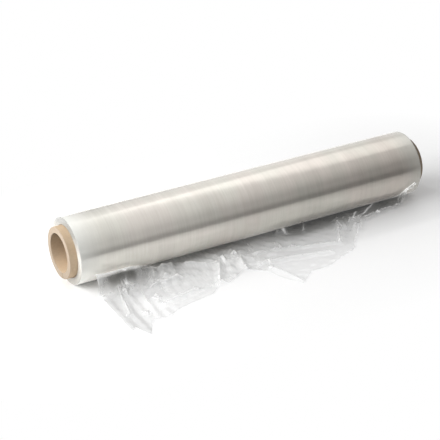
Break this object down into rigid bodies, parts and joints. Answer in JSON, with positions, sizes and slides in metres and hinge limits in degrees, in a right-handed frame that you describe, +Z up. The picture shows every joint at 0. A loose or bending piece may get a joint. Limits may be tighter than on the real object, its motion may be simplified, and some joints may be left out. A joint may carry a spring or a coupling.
{
  "type": "stretch wrap roll",
  "caption": "Roll of clear stretch film wound on a cardboard core, lying on its side with its loose, torn end crumpled on the table in front of it.",
  "frame": {"origin": "middle of the flat spot that the roll lies on, halfway along the film's width", "axes": "+X along the roll's axis, +Y away from the loose film, +Z up from the table"},
  "size_m": [0.52, 0.2034, 0.0857],
  "materials": {
    "core_board": "matt kraft board",
    "wound_film": "glossy clear film, silvery grey where many turns lie on each other",
    "loose_film": "glossy clear film, one or two layers thick"
  },
  "bodies": {
    "root": {"cardboard_core": "core_board", "wound_film": "wound_film", "loose_film": "loose_film"}
  },
  "joints": []
}
